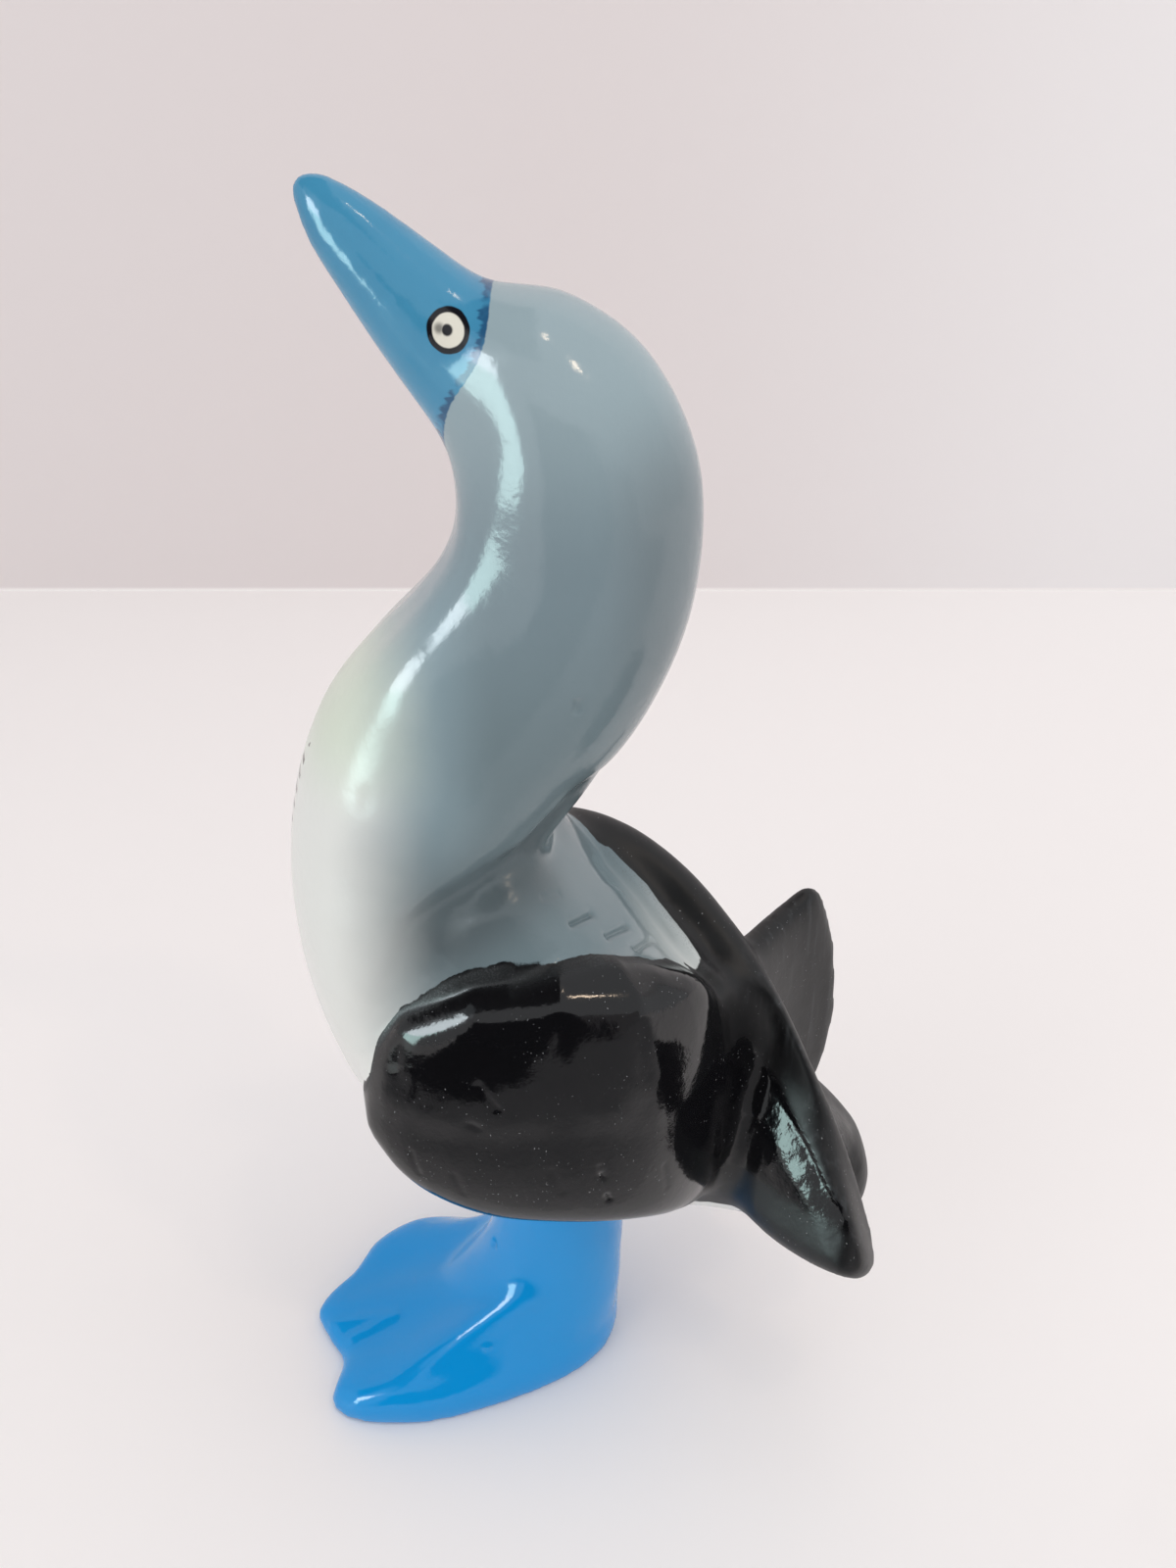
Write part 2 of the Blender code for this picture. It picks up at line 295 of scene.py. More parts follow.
def card_piece(name, points, faces):
    """A card of flat faces, and the nodes and shader of its matt paint."""
    bpy.ops.object.select_all(action="DESELECT")
    bpy.ops.mesh.primitive_plane_add(size=1.0)
    card = bpy.context.object
    card.name = name
    card.data.clear_geometry()
    card.data.from_pydata([Vector(point) * HEIGHT for point in points], [], faces)
    card.visible_camera = False
    card.visible_diffuse = False
    card.visible_shadow = False
    card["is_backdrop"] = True
    material, tree, shader = new_material(name)
    feed(shader, {"Roughness": 0.9, "Specular IOR Level": 0.0})
    card.data.materials.append(material)
    return tree, shader


tree, shader = card_piece("shaded_card", [(x, y, z) for x, z in CARD_PROFILE for y in CARD_SIDES],
                          [(2 * k, 2 * k + 1, 2 * k + 3, 2 * k + 2) for k in range(len(CARD_PROFILE) - 1)])
place = add_node(tree, "ShaderNodeTexCoord", output=3)
x, y, z = [channel / HEIGHT for channel in split_place(tree, place)]
ragged = add_node(tree, "ShaderNodeTexNoise", {},
                  {"Vector": place, "Scale": RAGGED_SCALE / HEIGHT, "Detail": 4.0}) - 0.5
# Painted shade: the card turns from grey to black towards the lens, for the shade of the camera and the one
# holding it.
shade_start = LENS_SHADE_START + larger(y + LENS_SHADE_SIDE, 0.0) * LENS_SHADE_SPREAD - z * LENS_SHADE_RISE
dark = step_up(x - shade_start + ragged * RAGGED_BLACK, 0.0, 0.12) * step_up(CARD_BLACK_SIDE - y, 0.0, 0.4)
grey = tint(CARD_NEAR_GREY, CARD_GREY, step_up(x + ragged * RAGGED_GREY, 0.30, 0.62))
feed(shader, {"Base Color": tint(grey, CARD_BLACK, dark)})

tree, shader = card_piece("small_dark_card", [(u, v, SMALL_CARD_HEIGHT) for u, v in SMALL_CARD_OUTLINE],
                          [tuple(range(len(SMALL_CARD_OUTLINE)))])
feed(shader, {"Base Color": CARD_BLACK})

middle_x, middle_y, overhead_height = OVERHEAD_PLACE
corners = [(middle_x + u * OVERHEAD_REACH, middle_y + v * OVERHEAD_REACH, overhead_height)
           for u, v in ((-1, -1), (1, -1), (1, 1), (-1, 1))]
tree, shader = card_piece("overhead_card", corners, [(0, 1, 2, 3)])
feed(shader, {"Base Color": OVERHEAD_GREY})


# The figure: one slip-cast bird of fired clay. Its cast form is the solid's own, with the faces worked
# smooth as the caster's sponge leaves the clay, softest on the neck and breast, and least on the foot, at
# the bill's tip and along the wings' edges.
CLAY_STEP = 0.0040
SPONGE_PASSES = 45
EDGE_PASSES = 7
FOOT_FIRMNESS = 0.75
MERGE_DISTANCE = 1e-5

bpy.ops.object.select_all(action="DESELECT")
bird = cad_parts["bird_figurine"].copy()
bird.data = bird.data.copy()
bird.name = "painted_bird"
bpy.context.collection.objects.link(bird)
bpy.context.view_layer.objects.active = bird
bird.select_set(True)
bpy.ops.object.mode_set(mode="EDIT")
bpy.ops.mesh.select_all(action="SELECT")
bpy.ops.mesh.remove_doubles(threshold=MERGE_DISTANCE)
bpy.ops.object.mode_set(mode="OBJECT")
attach(bird, "root")
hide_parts("bird_figurine")


def work_in(kind, settings):
    """Adds a modifier to the figure and applies it."""
    modifier = bird.modifiers.new(kind.lower(), kind)
    for name, value in settings.items():
        setattr(modifier, name, value)
    bpy.ops.object.modifier_apply(modifier=modifier.name)


def figure_points():
    """The figure's points, in shares of its height."""
    places = np.empty(len(bird.data.vertices) * 3)
    bird.data.vertices.foreach_get("co", places)
    return places.reshape(-1, 3) / HEIGHT


def figure_normals():
    normals = np.empty(len(bird.data.vertices) * 3)
    bird.data.vertices.foreach_get("normal", normals)
    return normals.reshape(-1, 3)


def set_points(places):
    bird.data.vertices.foreach_set("co", (places * HEIGHT).ravel())
    bird.data.update()


def share_group(name, shares):
    """A vertex group that holds each point's share, in tenths."""
    group = bird.vertex_groups.new(name=name)
    for level in range(11):
        group.add(np.nonzero(np.round(shares * 10) == level)[0].tolist(), level / 10, "REPLACE")


def ease(values, start, end):
    """Rises smoothly from 0 at start to 1 at end, for arrays of numbers."""
    t = np.clip((values - start) / (end - start), 0.0, 1.0)
    return t * t * (3 - 2 * t)


# The wings' run, front to tip: the blade's middle (x outwards, y), its low and high edge and half its
# thickness. The right wing lies higher and crosses over the left one behind the back.
LEFT_WING = np.array((
    (0.086, -0.170, 0.390, 0.390, 0.010),
    (0.090, -0.162, 0.355, 0.428, 0.019),
    (0.098, -0.132, 0.315, 0.472, 0.027),
    (0.105, -0.080, 0.289, 0.498, 0.030),
    (0.107, -0.020, 0.283, 0.508, 0.030),
    (0.096, 0.030, 0.272, 0.500, 0.029),
    (0.070, 0.065, 0.246, 0.476, 0.027),
    (0.034, 0.090, 0.216, 0.448, 0.024),
    (-0.004, 0.113, 0.202, 0.434, 0.021),
    (-0.045, 0.139, 0.200, 0.431, 0.019),
    (-0.078, 0.168, 0.202, 0.436, 0.016),
    (-0.098, 0.194, 0.204, 0.443, 0.013),
    (-0.108, 0.210, 0.206, 0.408, 0.010),
    (-0.116, 0.233, 0.292, 0.292, 0.008),
))
RIGHT_WING = np.array((
    (0.086, -0.170, 0.395, 0.395, 0.010),
    (0.090, -0.162, 0.355, 0.436, 0.019),
    (0.098, -0.132, 0.315, 0.484, 0.027),
    (0.105, -0.080, 0.289, 0.514, 0.030),
    (0.107, -0.020, 0.283, 0.524, 0.030),
    (0.097, 0.030, 0.272, 0.512, 0.029),
    (0.070, 0.071, 0.252, 0.488, 0.027),
    (0.032, 0.101, 0.226, 0.466, 0.026),
    (-0.005, 0.129, 0.194, 0.440, 0.024),
    (-0.036, 0.158, 0.175, 0.396, 0.022),
    (-0.058, 0.186, 0.169, 0.340, 0.019),
    (-0.077, 0.210, 0.172, 0.282, 0.016),
    (-0.090, 0.229, 0.178, 0.226, 0.013),
    (-0.097, 0.240, 0.190, 0.190, 0.008),
))
WINGS = ((LEFT_WING, 1), (RIGHT_WING, -1))


def wing_reading(places, wing, side):
    """For each point: the way along a wing, the distance out from its middle, and the wing's sizes there."""
    best = np.full(len(places), np.inf)
    reading = np.zeros((5, len(places)))
    gone = 0.0
    for start, end in zip(wing, wing[1:]):
        run = (end[:2] - start[:2]) * (side, 1)
        length = math.hypot(*run)
        off = places[:, :2] - start[:2] * (side, 1)
        share = np.clip(off @ run / length ** 2, 0.0, 1.0)
        gap = off - share[:, None] * run
        distance = np.hypot(gap[:, 0], gap[:, 1])
        nearer = distance < best
        best[nearer] = distance[nearer]
        out = (gap[:, 0] * run[1] - gap[:, 1] * run[0]) / length * side
        rows = start[2:, None] + (end - start)[2:, None] * share
        for k, values in enumerate((gone + share * length, out, *rows)):
            reading[k][nearer] = values[nearer]
        gone += length
    return reading


work_in("REMESH", {"mode": "VOXEL", "voxel_size": CLAY_STEP * HEIGHT})
places = figure_points()
edge_share = np.zeros(len(places))
for wing, side in WINGS:
    along, out, low, high, half = wing_reading(places, wing, side)
    near_blade = 1.0 - ease(np.abs(out) - half, 0.0, 0.02)
    behind = ease(places[:, 1], 0.09, 0.12)
    near_edge = np.maximum(ease(places[:, 2], high - 0.05, high - 0.02), behind)
    near_edge *= ease(places[:, 2], low - 0.04, low) * (1.0 - ease(places[:, 2], high + 0.01, high + 0.04))
    edge_share = np.maximum(edge_share, near_blade * near_edge * ease(places[:, 1], 0.02, 0.08))
foot_share = FOOT_FIRMNESS - FOOT_FIRMNESS * ease(places[:, 2], 0.05, 0.16)
bill_share = ease(places[:, 2] - places[:, 1], 1.06, 1.13)
edge_share = np.maximum(np.maximum(edge_share, foot_share), bill_share)
share_group("sponged", 1.0 - edge_share)
work_in("SMOOTH", {"factor": 0.5, "iterations": SPONGE_PASSES, "vertex_group": "sponged"})
work_in("SMOOTH", {"factor": 0.5, "iterations": EDGE_PASSES})


# Black paint: brushed over both wings and the tail, its edge running a little inside the wings' crests. Each
# point keeps how far inside the black it lies, so that the edge is crisp whatever the mesh. An edge is a row
# of ways along the wing, then its heights over the crest or its distances out from the blade's middle.
LEFT_TOP_EDGE = ((0.0, 0.015, 0.021, 0.035, 0.049, 0.075, 0.100, 0.126, 0.150, 0.180, 0.280, 0.298),
                 (-0.030, -0.022, -0.002, 0.003, 0.004, 0.010, 0.011, 0.012, 0.016, 0.040, 0.040, 0.006))
LEFT_INNER_EDGE = ((0.090, 0.120, 0.150, 0.181, 0.222, 0.270, 0.292, 0.305),
                   (-0.045, -0.008, -0.014, -0.022, -0.025, -0.024, -0.012, -0.200))
RIGHT_TOP_EDGE = ((0.0, 0.015, 0.021, 0.035, 0.049, 0.075, 0.100, 0.126, 0.160),
                  (-0.030, -0.022, -0.002, 0.003, 0.004, 0.012, 0.013, 0.014, 0.040))
RIGHT_INNER_EDGE = ((0.090, 0.126, 0.150, 0.165, 0.188, 0.245, 0.307, 0.340, 0.350),
                    (-0.045, -0.017, -0.020, -0.026, -0.037, -0.034, -0.0345, -0.036, -0.200))
FRONT_END = -0.176
UNDER_LAP = 0.016
TAIL_START = 0.098
TAIL_SLANT = 0.1
TAIL_LOW_EDGE = ((0.09, 0.15, 0.20, 0.25), (0.205, 0.190, 0.165, 0.12))
UNDERSIDE_TOP = 0.34
UNDERSIDE_FADE = 0.04
UNDERSIDE_PASSES = 14
EVENING = 0.6
SATIN_BAND_EDGE = ((0.33, 0.35, 0.36, 0.40, 0.44, 0.475, 0.49),
                   (0.038, 0.032, 0.029, 0.034, 0.028, 0.016, 0.012))

places = figure_points()
x, y, z = places.T


def wing_black(wing_sizes, top_edge, inner_edge):
    """How far below a wing's painted crest each point lies, and how far inside its black paint."""
    along, out, low, high, half = wing_sizes
    below_top = high + np.interp(along, *top_edge) - z
    inner = np.interp(along, *inner_edge)
    blend = ease(z - low, 0.05, 0.10)
    inside = np.minimum(below_top, out - (-0.5 * half * (1 - blend) + inner * blend))
    inside = np.minimum(np.minimum(inside, y - FRONT_END), z - low + UNDER_LAP)
    return np.minimum(below_top, out - inner), inside


edge_ends = np.empty(len(bird.data.edges) * 2, dtype=int)
bird.data.edges.foreach_get("vertices", edge_ends)
edge_ends = edge_ends.reshape(-1, 2)
first, last = edge_ends.T
neighbours = np.bincount(first, minlength=len(places)) + np.bincount(last, minlength=len(places))


def evened(values, passes):
    """Takes the small steps out of a reading: each point leans towards the points beside it."""
    for _ in range(passes):
        around = np.bincount(first, values[last], len(values))
        around += np.bincount(last, values[first], len(values))
        values = (1.0 - EVENING) * values + EVENING * around / neighbours
    return values


def keep_reading(name, values):
    attribute = bird.data.attributes.new(name, "FLOAT", "POINT")
    attribute.data.foreach_set("value", values.astype(np.float32))


left_sizes = wing_reading(places, LEFT_WING, 1)
left_top, left_black = wing_black(left_sizes, LEFT_TOP_EDGE, LEFT_INNER_EDGE)
right_sizes = wing_reading(places, RIGHT_WING, -1)
right_top, right_black = wing_black(right_sizes, RIGHT_TOP_EDGE, RIGHT_INNER_EDGE)
rear_black = np.minimum(y - TAIL_START + TAIL_SLANT * np.abs(x), z - np.interp(y, *TAIL_LOW_EDGE))
black = np.maximum(np.maximum(left_black, right_black), rear_black)
underside = ease(UNDERSIDE_TOP - z, 0.0, UNDERSIDE_FADE)
black += underside * (evened(black, UNDERSIDE_PASSES) - black)

along, out, low, high, half = right_sizes
band_low = high - np.interp(along, *SATIN_BAND_EDGE)
satin = ease(out, -0.052, -0.046) * ease(z - band_low, -0.001, 0.001) * ease(along, 0.13, 0.17)
satin = np.maximum(satin, (1 - ease(x, -0.01, 0.02)) * ease(y, 0.06, 0.10))
satin = np.maximum(satin, ease(y, 0.225, 0.26) * (x < 0.05))
keep_reading("inside_black", black)
keep_reading("below_crest", np.where(left_black > right_black, left_top, right_top))
keep_reading("satin", satin)
keep_reading("right_side", ease(right_black - left_black, -0.004, 0.004))


# The wings' shoulders: each wing slopes outwards from its crest as a narrow shelf, and turns over a soft
# ridge into its full side. The outer faces and the fronts are then rubbed smooth, and the fronts built up a
# little. The section's points are (outwards, height) from the crest, for a wing of full size.
SHOULDER_SECTION = np.array((
    (0.0357, -0.165),
    (0.0338, -0.125),
    (0.0311, -0.085),
    (0.0276, -0.054),
    (0.0235, -0.035),
    (0.0178, -0.0215),
    (0.0090, -0.0115),
    (-0.0020, -0.0045),
    (-0.0180, 0.0020),
))
SECTION_MIDDLE = np.array((-0.004, -0.085))
FULL_HALF_THICKNESS = 0.030
FULL_WING_HEIGHT = 0.215
LEAST_HEIGHT_SHARE = 0.4
SHOULDER_SLACK = 0.3
RUBBING_PASSES = 40
FRONT_FULLNESS = 0.0052

spokes = SHOULDER_SECTION - SECTION_MIDDLE
spoke_turns = np.degrees(np.arctan2(spokes[:, 1], spokes[:, 0]))
spoke_lengths = np.hypot(spokes[:, 0], spokes[:, 1])
places = figure_points()
for wing, side in WINGS:
    along, out, low, high, half = wing_reading(places, wing, side)
    widths = half / FULL_HALF_THICKNESS
    heights = np.clip((high - low) / FULL_WING_HEIGHT, LEAST_HEIGHT_SHARE, 1.0)
    across = out / widths - SECTION_MIDDLE[0]
    upwards = (places[:, 2] - high) / heights - SECTION_MIDDLE[1]
    turns = np.degrees(np.arctan2(upwards, across))
    lengths = np.hypot(across, upwards)
    wanted = np.interp(turns, spoke_turns, spoke_lengths)
    share = ease(turns, -68.0, 8.0) * (1.0 - ease(turns, 96.0, 110.0)) * ease(lengths / wanted, 0.7, 0.85)
    slack = 1.0 + SHOULDER_SLACK * (1.0 - ease(turns, 20.0, 60.0))
    share *= (1.0 - ease(lengths / wanted / slack, 1.05, 1.15)) * ease(along, 0.0, 0.045)
    share *= 1.0 - ease(along, 0.19, 0.27) if side == 1 else 1.0 - ease(along, 0.12, 0.16)
    growth = share * (wanted / np.maximum(lengths, 1e-6) - 1.0)
    places[:, 0] += growth * across * widths * side
    places[:, 2] += growth * upwards * heights
set_points(places)

rubbed_share = np.zeros(len(places))
for wing, side in WINGS:
    along, out, low, high, half = wing_reading(places, wing, side)
    outer = ease(out, 0.2 * half, 0.7 * half) * ease(places[:, 2], low + 0.02, low + 0.05)
    outer *= ease(high - places[:, 2], 0.040, 0.060) * (1.0 - ease(along, 0.24, 0.29))
    front = (1.0 - ease(along, 0.010, 0.035)) * (1.0 - ease(np.abs(out), half + 0.010, half + 0.025))
    front *= ease(places[:, 2], low - 0.03, low) * (1.0 - ease(places[:, 2], high, high + 0.03))
    rubbed_share = np.maximum(rubbed_share, np.maximum(outer, front))
share_group("rubbed", rubbed_share)
work_in("SMOOTH", {"factor": 0.5, "iterations": RUBBING_PASSES, "vertex_group": "rubbed"})

places = figure_points()
for wing, side in WINGS:
    along, out, low, high, half = wing_reading(places, wing, side)
    fuller = (1.0 - ease(along, 0.004, 0.030)) * ease(out, -0.030, -0.005)
    fuller *= ease(places[:, 2], 0.27, 0.34) * (1.0 - ease(places[:, 2], 0.352, 0.402))
    places[:, 1] -= FRONT_FULLNESS * fuller
set_points(places)


# The crease where the neck bends down on to the back: cut in on both sides with a modelling tool, deepest
# beside the neck. A painted shade lies darker just below it.
CREASE_RUN = np.array((
    (0.0, 0.012, 0.640),
    (0.047, -0.007, 0.616),
    (0.058, -0.041, 0.577),
    (0.079, -0.067, 0.565),
    (0.089, -0.094, 0.551),
    (0.096, -0.121, 0.534),
    (0.094, -0.139, 0.485),
))
CREASE_DEPTH = np.array((0.002, 0.006, 0.010, 0.012, 0.009, 0.005, 0.002))
CREASE_WIDTH = 0.012
CREASE_SHADE_WIDTH = 0.030
CREASE_SHADE_OFFSET = (0.0, 0.010, -0.012)


def run_reading(points, run, values):
    """Each point's way off the nearest place on a run of straight pieces, and the values carried there."""
    best = np.full(len(points), np.inf)
    off = np.zeros((len(points), 3))
    carried = np.zeros((len(points), values.shape[1]))
    for start, end, at_start, at_end in zip(run, run[1:], values, values[1:]):
        piece = end - start
        share = np.clip((points - start) @ piece / (piece @ piece), 0.0, 1.0)[:, None]
        gap = points - start - share * piece
        distance = np.linalg.norm(gap, axis=1)
        nearer = distance < best
        best[nearer] = distance[nearer]
        off[nearer] = gap[nearer]
        carried[nearer] = (at_start + (at_end - at_start) * share)[nearer]
    return best, off, carried


def folded_over(places):
    """The places with the right side laid over the left."""
    return np.abs(places) * (1, 0, 0) + places * (0, 1, 1)


places = figure_points()
folded = folded_over(places)
gap, _, depth = run_reading(folded, CREASE_RUN, CREASE_DEPTH[:, None])
places -= figure_normals() * (depth[:, 0] * np.exp(-(gap / CREASE_WIDTH) ** 2))[:, None]
set_points(places)
gap, _, depth = run_reading(folded - CREASE_SHADE_OFFSET, CREASE_RUN, CREASE_DEPTH[:, None])
keep_reading("by_crease", np.exp(-(gap / CREASE_SHADE_WIDTH) ** 2) * ease(depth[:, 0], 0.001, 0.006))


# The neck's and breast's flanks: worked a little fuller or flatter by thumb, so that the light runs down
# them in one narrow streak that ends on the breast. The run carries how steeply the face rises across it,
# and how high a ridge stands on it. A brow is a place, a slope and a width.
FLANK_RUN = np.array((
    (0.049, -0.055, 0.905),
    (0.059, -0.045, 0.877),
    (0.064, -0.042, 0.852),
    (0.064, -0.048, 0.824),
    (0.060, -0.060, 0.794),
    (0.059, -0.076, 0.763),
    (0.061, -0.096, 0.732),
    (0.066, -0.120, 0.701),
))
FLANK_RISE = np.array((0.23, 0.20, 0.12, -0.05, -0.22, -0.25, -0.18, -0.08))
FLANK_RIDGE = np.array((0.0022, 0.0012, 0.0, 0.0, 0.0, 0.0, 0.0008, 0.0022))
RIDGE_WIDTH = 0.025
FLANK_WIDTH = 0.042
BROWS = (((0.072, -0.128, 0.680), 0.28, 0.060), ((0.080, -0.154, 0.606), 0.22, 0.060))
THUMBED_PASSES = 8

folded = folded_over(places)
normals = figure_normals()
side_signs = np.sign(places[:, :1])
folded_normals = normals * np.hstack([side_signs, np.ones((len(places), 2))])
runs = np.gradient(FLANK_RUN, axis=0)
runs /= np.linalg.norm(runs, axis=1)[:, None]
gap, off, carried = run_reading(folded, FLANK_RUN, np.column_stack([FLANK_RISE, FLANK_RIDGE, runs]))
across_gap = np.einsum("ij,ij->i", off, np.cross(folded_normals, carried[:, 2:]))
rise = carried[:, 0] * across_gap * np.exp(-(gap / FLANK_WIDTH) ** 2)
rise += carried[:, 1] * np.exp(-(gap / RIDGE_WIDTH) ** 2)
for middle, slope, width in BROWS:
    off = folded - middle
    rise += slope * off[:, 2] * np.exp(-(off ** 2).sum(1) / width ** 2)
rise *= ease(folded_normals[:, 0], 0.15, 0.6)
places += normals * evened(rise, THUMBED_PASSES)[:, None]
set_points(places)


# The right wing stands a little proud of the back: its foot is cut in along the inner side, up to where the
# wing crosses over the left one.
FOOT_CUT = 0.008
FOOT_CUT_EDGE = ((0.16, 0.20, 0.25, 0.31, 0.335, 0.37), (0.026, 0.035, 0.040, 0.041, 0.036, 0.028))

places = figure_points()
along, out, low, high, half = wing_reading(places, RIGHT_WING, -1)
wall_start = np.interp(along, *FOOT_CUT_EDGE)
cut = ease(-out, wall_start, wall_start + 0.011) * (1.0 - ease(-out, wall_start + 0.013, wall_start + 0.050))
cut *= ease(along, 0.16, 0.21) * (1.0 - ease(along, 0.37, 0.40))
cut *= ease(places[:, 2], high - 0.06, high - 0.03) * (1.0 - ease(places[:, 2], high + 0.005, high + 0.025))
places[:, 2] -= cut * FOOT_CUT
set_points(places)


# The right wing's tip, carved by hand in the model: it leans, its crest is a broad flat band with a crisp
# inner edge, and the face below the band is a little hollow down to where it meets the left wing.
TIP_BAND_EDGE = ((0.36, 0.40, 0.44, 0.475, 0.49), (0.029, 0.034, 0.028, 0.016, 0.012))
TIP_RUN = np.array((0.63, 0.777))
TIP_HOLLOW = 0.0030
BEVEL_LEAN = 0.005
BEVEL_DEPTH = 0.060
FACE_LEAN = 0.40
LEAN_MIDDLE = 0.31
FACE_TURN = 0.18
TURN_MIDDLE = 0.42
LEAN_WAY = np.array((0.652, -0.184, 0.735))
TIP_PASSES = 3

places = figure_points()
along, out, low, high, half = wing_reading(places, RIGHT_WING, -1)
below_band = high - np.interp(along, *TIP_BAND_EDGE) - places[:, 2]
hollow = ease(below_band, -0.001, 0.007) * ease(places[:, 2] - low, 0.012, 0.06)
hollow *= ease(along, 0.345, 0.375) * (1.0 - ease(along, 0.455, 0.485)) * ease(-out, 0.0, 0.3 * half)
hollow *= 1.0 - ease(-out, 1.3 * half, 1.9 * half)
lean = BEVEL_LEAN * np.clip(below_band / BEVEL_DEPTH, 0.0, 1.0) * ease(along, 0.345, 0.38)
turned = FACE_LEAN * (LEAN_MIDDLE - places[:, 2]) + FACE_TURN * (along - TURN_MIDDLE)
lean += turned * ease(-out, -0.2 * half, half) * ease(along, 0.35, 0.39)
lean *= (1.0 - ease(np.abs(out), 0.035, 0.05)) * (1.0 - 0.5 * ease(along, 0.46, 0.50))
lean *= ease(places[:, 2], low - 0.03, low - 0.005)
places[:, 0] -= hollow * TIP_HOLLOW * TIP_RUN[1]
places[:, 1] += hollow * TIP_HOLLOW * TIP_RUN[0]
places += lean[:, None] * LEAN_WAY
set_points(places)
work_in("SMOOTH", {"factor": 0.5, "iterations": TIP_PASSES})


# Marks of the hand in the clay: strokes of a pointed tool on the back and wing, pits, a chip, and the toes'
# ridges pinched up on the foot. Each row is a width, a depth (less than nothing stands up), then the mark's
# way. The clay's mesh is made finer where a mark is fine.
MARKS = (
    (0.0024, 0.0052, ((0.068, -0.010, 0.524), (0.045, 0.003, 0.515))),
    (0.0024, 0.0046, ((0.054, 0.015, 0.503), (0.027, 0.030, 0.491))),
    (0.0024, 0.0048, ((0.047, 0.036, 0.486), (0.019, 0.051, 0.475))),
    (0.0030, 0.0009, ((0.068, -0.030, 0.547), (0.054, -0.021, 0.540))),
    (0.0034, 0.0016, ((0.078, -0.006, 0.702), (0.078, -0.006, 0.698))),
    (0.0080, 0.0010, ((0.090, -0.079, 0.649), (0.090, -0.079, 0.645))),
    (0.0070, 0.0008, ((0.083, -0.147, 0.634), (0.083, -0.147, 0.630))),
    (0.0040, 0.0008, ((0.130, -0.076, 0.430), (0.134, -0.065, 0.413))),
    (0.0034, 0.0006, ((0.135, -0.083, 0.397), (0.135, -0.079, 0.395))),
    (0.0030, 0.0004, ((0.131, -0.130, 0.362), (0.131, -0.125, 0.342))),
    (0.0032, 0.0003, ((0.138, -0.098, 0.346), (0.138, -0.093, 0.328))),
    (0.0036, 0.0003, ((0.142, -0.026, 0.354), (0.142, -0.019, 0.334))),
    (0.0028, 0.0006, ((0.137, 0.009, 0.354), (0.137, 0.015, 0.326))),
    (0.0032, 0.0004, ((0.116, 0.057, 0.334), (0.116, 0.061, 0.310))),
    (0.0022, 0.0016, ((0.137, 0.010, 0.346), (0.137, 0.011, 0.343))),
    (0.0028, 0.0018, ((0.137, 0.015, 0.322), (0.137, 0.016, 0.319))),
    (0.0036, 0.0022, ((0.021, -0.088, 0.132), (0.021, -0.084, 0.132))),
    (0.0028, -0.0011, ((0.075, -0.091, 0.062), (0.075, -0.089, 0.062))),
    (0.0110, -0.0030, ((0.098, -0.203, 0.024), (0.095, -0.174, 0.035), (0.069, -0.114, 0.067),
                       (0.063, -0.087, 0.085), (0.056, -0.052, 0.103))),
    (0.0060, -0.0020, ((0.018, -0.242, 0.017), (0.022, -0.182, 0.035), (0.035, -0.220, 0.021))),
)
MARK_REACH = 3.2
MARK_THICKNESS = 0.02
SOLE_NORMAL = -0.2
FINE_WIDTH = 0.0045
POINTED_WIDTH = 0.0025


def mark_gap(points, normals, run):
    """Each point's way off a mark, measured along the face. The sole takes no marks."""
    run = np.array(run)
    _, off, _ = run_reading(points, run, np.zeros((len(run), 1)))
    lifted = np.einsum("ij,ij->i", off, normals)
    flat = np.linalg.norm(off - lifted[:, None] * normals, axis=1)
    flat[(np.abs(lifted) > MARK_THICKNESS) | (normals[:, 2] < SOLE_NORMAL)] = np.inf
    return flat


places = figure_points()
normals = figure_normals()
fine = np.zeros(len(places), dtype=bool)
for width, depth, run in MARKS:
    if width < FINE_WIDTH:
        fine |= mark_gap(places, normals, run) < MARK_REACH * width
bird.data.vertices.foreach_set("select", fine)
bird.data.edges.foreach_set("select", fine[edge_ends].all(axis=1))
bpy.ops.object.mode_set(mode="EDIT")
bpy.ops.mesh.select_mode(type="VERT")
bpy.ops.mesh.subdivide(number_cuts=3, smoothness=0.0)
bpy.ops.mesh.select_all(action="DESELECT")
bpy.ops.object.mode_set(mode="OBJECT")

places = figure_points()
normals = figure_normals()
sunk = np.zeros(len(places))
for width, depth, run in MARKS:
    roundness = 1 if width < POINTED_WIDTH else 2
    sunk += depth * np.exp(-(mark_gap(places, normals, run) / width) ** roundness)
places -= normals * sunk[:, None]
set_points(places)


# The paint and glaze: sky blue bill and foot, grey-blue head, neck and back, an ivory breast sprayed in
# between, black wings and tail, and a clear gloss over all of it that shows the brush marks. Its parts
# follow in the order in which they are painted.
glaze_material, tree, shader = new_material("painted_glaze")
place = add_node(tree, "ShaderNodeTexCoord", output=3)
place = add_node(tree, "ShaderNodeVectorMath", {"operation": "SCALE"}, {0: place, "Scale": 1.0 / HEIGHT})
x, y, z = split_place(tree, place)


def noise(scale, detail=2.0, where=None):
    """Even noise about 0.5; scale counts its blotches over the figure's height."""
    values = {"Vector": where or place, "Scale": scale, "Detail": detail}
    return add_node(tree, "ShaderNodeTexNoise", {}, values)


def stretched(sx, sy, sz):
    """The place with each direction stretched, for noise in streaks."""
    return add_node(tree, "ShaderNodeVectorMath", {"operation": "MULTIPLY"}, {0: place, 1: (sx, sy, sz)})


def reading(name):
    return add_node(tree, "ShaderNodeAttribute", {"attribute_name": name}, output=2)


def smaller(first, second):
    return first.sum_with("MINIMUM", first, second)


grain = noise(260.0, 3.0)
brush = noise(90.0, 4.0)
cloud = noise(14.0, 2.0)
by_crease = reading("by_crease")
